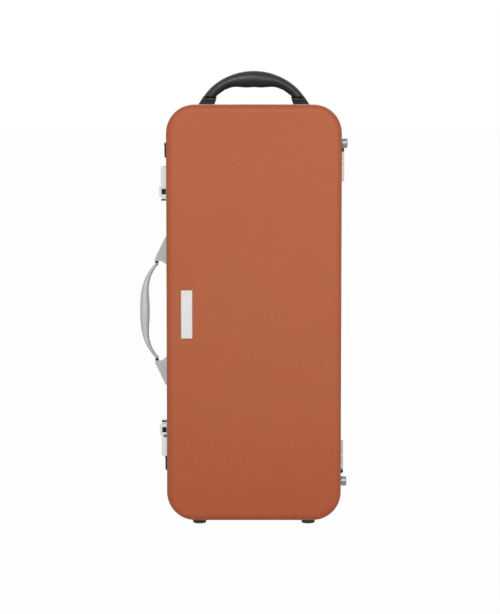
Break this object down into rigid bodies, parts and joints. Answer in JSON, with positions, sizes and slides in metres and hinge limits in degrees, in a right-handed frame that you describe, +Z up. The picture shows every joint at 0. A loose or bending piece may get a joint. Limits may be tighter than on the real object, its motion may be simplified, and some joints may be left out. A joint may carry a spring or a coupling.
{
  "type": "bassoon case",
  "caption": "Upright hard case for a bassoon: hinged lid, latches with thumb slides, top and side carrying handles, strap rings, rubber and metal feet, padded wells.",
  "frame": {"origin": "on the floor, centred between the four standing feet and halfway through the shells' depth", "axes": "+Z up along the case's length, +X to the hinge side, -Y out of the lid's face"},
  "size_m": [0.3402, 0.1414, 0.7426],
  "materials": {
    "shell_cover": "fine matte grain, terracotta",
    "rim_metal": "satin anodised",
    "seal_rubber": "matte",
    "lining": "short dark plush",
    "badge_metal": "brushed, bare",
    "foot_rubber": "matte",
    "spine_metal": "turned, satin",
    "steel_fasteners": "satin",
    "hinge_metal": "pale satin",
    "latch_chrome": "polished",
    "black_plastic": "matte",
    "black_fittings": "black, satin",
    "grip_leather": "black, soft, stitched",
    "side_handle_grey": "light grey, satin"
  },
  "bodies": {
    "base": {"base_feet": "foot_rubber", "base_foot_screws": "steel_fasteners", "base_rim": "rim_metal", "base_shell": "shell_cover", "bell_cross_divider": "lining", "bell_divider": "lining", "boot_cross_divider": "lining", "boot_divider": "lining", "floor_cushion": "lining", "hasp_pins": "steel_fasteners", "hinge_base_leaf_lower": "hinge_metal", "hinge_base_leaf_upper": "hinge_metal", "hinge_base_rivets": "steel_fasteners", "hinge_pins": "black_plastic", "latch_body_lower": "latch_chrome", "latch_body_upper": "latch_chrome", "latch_rivets": "steel_fasteners", "long_joint_divider": "lining", "rim_seal": "seal_rubber", "ring_mount_lower": "black_fittings", "ring_mount_rivets": "steel_fasteners", "ring_mount_upper": "black_fittings", "side_bracket_lower": "side_handle_grey", "side_bracket_screws": "steel_fasteners", "side_bracket_studs": "steel_fasteners", "side_bracket_upper": "side_handle_grey", "side_bushes": "black_plastic", "side_handle_pins": "steel_fasteners", "slide_spring_lower": "steel_fasteners", "slide_spring_upper": "steel_fasteners", "top_bracket_left": "black_fittings", "top_bracket_right": "black_fittings", "top_bracket_screws": "steel_fasteners", "top_handle_pins": "steel_fasteners", "wall_cushion": "lining", "wing_cross_divider": "lining"},
    "lid": {"lid_shell": "shell_cover", "lid_rim": "rim_metal", "lid_cushion": "lining", "badge_plate": "badge_metal", "lid_feet": "foot_rubber", "lid_foot_screws": "steel_fasteners", "lid_spine_feet": "spine_metal", "hinge_lid_leaf_upper": "hinge_metal", "hinge_lid_leaf_lower": "hinge_metal", "hinge_lid_rivets": "steel_fasteners", "keeper_upper": "latch_chrome", "keeper_lower": "latch_chrome", "keeper_rivets": "steel_fasteners"},
    "top_handle": {"top_grip": "grip_leather"},
    "side_handle": {"side_grip": "side_handle_grey"},
    "hasp_upper": {"hasp_upper": "latch_chrome"},
    "hasp_lower": {"hasp_lower": "latch_chrome"},
    "slide_upper": {"slide_upper": "latch_chrome", "slide_block_upper": "black_plastic"},
    "slide_lower": {"slide_lower": "latch_chrome", "slide_block_lower": "black_plastic"},
    "ring_upper": {"strap_ring_upper": "black_fittings"},
    "ring_lower": {"strap_ring_lower": "black_fittings"}
  },
  "joints": [
    {"name": "lid_hinge", "type": "hinge", "parent": "base", "child": "lid", "pos_m": [0.1454, -0.012, 0.347], "axis": [0, 0, 1], "range_deg": [0, 110]},
    {"name": "top_handle_pivot", "type": "hinge", "parent": "base", "child": "top_handle", "pos_m": [0, 0.014, 0.695], "axis": [1, 0, 0], "range_deg": [-60, 60]},
    {"name": "side_handle_pivot", "type": "hinge", "parent": "base", "child": "side_handle", "pos_m": [-0.1605, 0.001, 0.347], "axis": [0, 0, 1], "range_deg": [-85, 85]},
    {"name": "hasp_upper_pivot", "type": "hinge", "parent": "base", "child": "hasp_upper", "pos_m": [-0.1481, 0.002, 0.57], "axis": [0, 0, -1], "range_deg": [0, 75]},
    {"name": "slide_upper_travel", "type": "slide", "parent": "base", "child": "slide_upper", "axis": [0, 0, -1], "range_m": [0, 0.003], "stiffness_N_per_m": 400, "deforming": ["slide_spring_upper"]},
    {"name": "hasp_lower_pivot", "type": "hinge", "parent": "base", "child": "hasp_lower", "pos_m": [-0.1481, 0.002, 0.124], "axis": [0, 0, -1], "range_deg": [0, 75]},
    {"name": "slide_lower_travel", "type": "slide", "parent": "base", "child": "slide_lower", "axis": [0, 0, 1], "range_m": [0, 0.003], "stiffness_N_per_m": 400, "deforming": ["slide_spring_lower"]},
    {"name": "ring_upper_swing", "type": "hinge", "parent": "base", "child": "ring_upper", "pos_m": [-0.1455, 0.006, 0.622], "axis": [0, 1, 0], "range_deg": [0, 170]},
    {"name": "ring_lower_swing", "type": "hinge", "parent": "base", "child": "ring_lower", "pos_m": [-0.1455, 0.006, 0.103], "axis": [0, 1, 0], "range_deg": [0, 95]}
  ]
}
